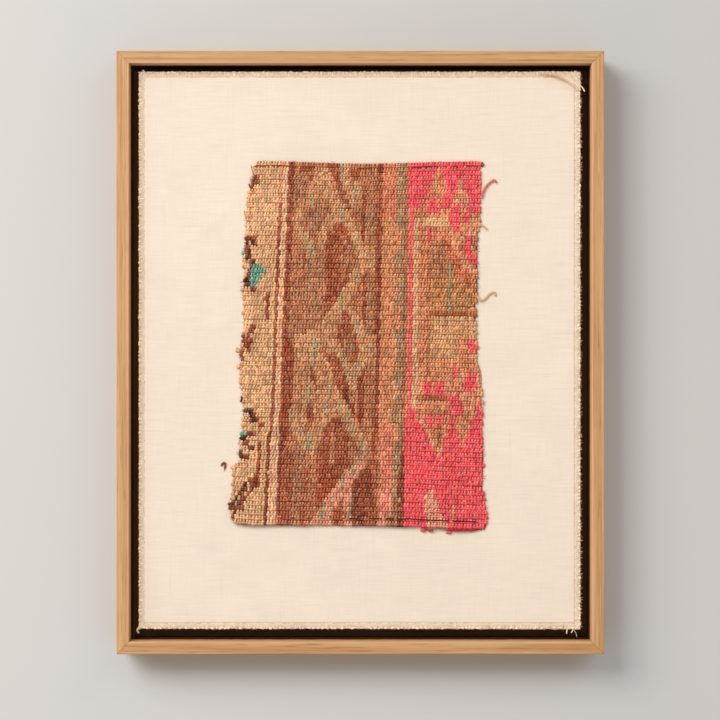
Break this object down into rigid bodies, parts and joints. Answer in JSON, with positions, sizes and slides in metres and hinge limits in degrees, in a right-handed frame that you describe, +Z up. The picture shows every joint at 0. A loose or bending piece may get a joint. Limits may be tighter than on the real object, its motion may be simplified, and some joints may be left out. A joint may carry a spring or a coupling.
{
  "type": "kilim fragment on ground cloth in floater frame",
  "caption": "Worn woven fragment mounted on plain unbleached cloth with an overcast edge, set back in a slim oak floater frame with a dark inner channel.",
  "frame": {"origin": "middle of the top rail's back face, where the frame touches the wall", "axes": "+X to the right as seen from the front, +Z up, +Y towards the wall"},
  "size_m": [0.4284, 0.038, 0.53],
  "materials": {
    "oak": "oiled oak, dark stained inside the channel",
    "panel": "plain sanded board",
    "ground_cloth": "unbleached plain weave",
    "worn_wool": "worn dyed wool",
    "pink_wool": "dyed wool yarn",
    "tan_wool": "dyed wool yarn",
    "dark_red_wool": "dyed wool yarn"
  },
  "bodies": {
    "root": {"rail_left": "oak", "rail_top": "oak", "rail_right": "oak", "rail_bottom": "oak", "mount_board": "panel", "ground_cloth": "ground_cloth", "kilim_fragment": "worn_wool", "yarn_pink": "pink_wool", "yarn_tan": "tan_wool", "yarn_tan_short": "tan_wool", "yarn_dark_red": "dark_red_wool"}
  },
  "joints": []
}
